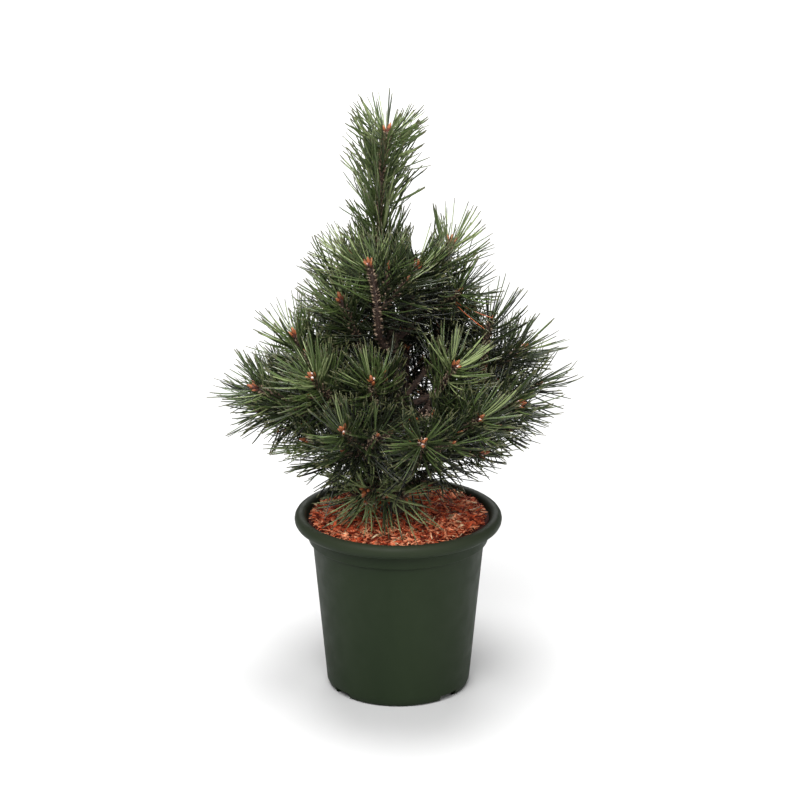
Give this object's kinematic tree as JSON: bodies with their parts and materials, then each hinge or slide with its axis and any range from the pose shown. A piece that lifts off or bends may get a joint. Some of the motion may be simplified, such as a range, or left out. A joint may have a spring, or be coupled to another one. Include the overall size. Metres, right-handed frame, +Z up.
{
  "type": "potted mugo pine",
  "caption": "Young mugo pine in a round tapered pot: a leaning trunk, upswept boughs in tiers, tufts of long needles with buds, and bark mulch.",
  "frame": {"origin": "middle of the pot's foot, on the surface that it stands on", "axes": "+Z up along the pot's axis, -Y to the front of the plant, +X to its right-hand side seen from the front"},
  "size_m": [0.3841, 0.3692, 0.6603],
  "materials": {
    "pot_plastic": "satin dark green moulded plastic",
    "soil": "moist dark potting compost",
    "bark_mulch": "rough shredded red-brown bark",
    "wood": "rough grey-brown scaly bark",
    "foliage": "dark to mid green waxy needles, orange-brown buds"
  },
  "bodies": {
    "root": {"pot": "pot_plastic", "soil": "soil", "bark_mulch": "bark_mulch", "trunk": "wood", "bough_low_front": "wood", "bough_low_left": "wood", "bough_low_right": "wood", "bough_low_back": "wood", "bough_left": "wood", "bough_front_left": "wood", "bough_front_right": "wood", "bough_right_front": "wood", "bough_right": "wood", "bough_back_right": "wood", "bough_back": "wood", "bough_back_left": "wood", "bough_mid_left": "wood", "bough_mid_front_left": "wood", "bough_mid_front": "wood", "bough_mid_front_right": "wood", "bough_mid_right": "wood", "bough_mid_back_right": "wood", "bough_mid_back": "wood", "bough_mid_back_left": "wood", "bough_top_front": "wood", "bough_top_right": "wood", "bough_top_left": "wood", "bough_top_back": "wood", "bough_top_fork": "wood", "bough_top_inner": "wood", "foliage_low_front": "foliage", "foliage_low_left": "foliage", "foliage_low_right": "foliage", "foliage_low_back": "foliage", "foliage_left": "foliage", "foliage_front_left": "foliage", "foliage_front_right": "foliage", "foliage_right_front": "foliage", "foliage_right": "foliage", "foliage_back_right": "foliage", "foliage_back": "foliage", "foliage_back_left": "foliage", "foliage_mid_left": "foliage", "foliage_mid_front_left": "foliage", "foliage_mid_front": "foliage", "foliage_mid_front_right": "foliage", "foliage_mid_right": "foliage", "foliage_mid_back_right": "foliage", "foliage_mid_back": "foliage", "foliage_mid_back_left": "foliage", "foliage_top_front": "foliage", "foliage_top_right": "foliage", "foliage_top_left": "foliage", "foliage_top_back": "foliage", "foliage_top_fork": "foliage", "foliage_top_inner": "foliage", "foliage_leader": "foliage"}
  },
  "joints": []
}
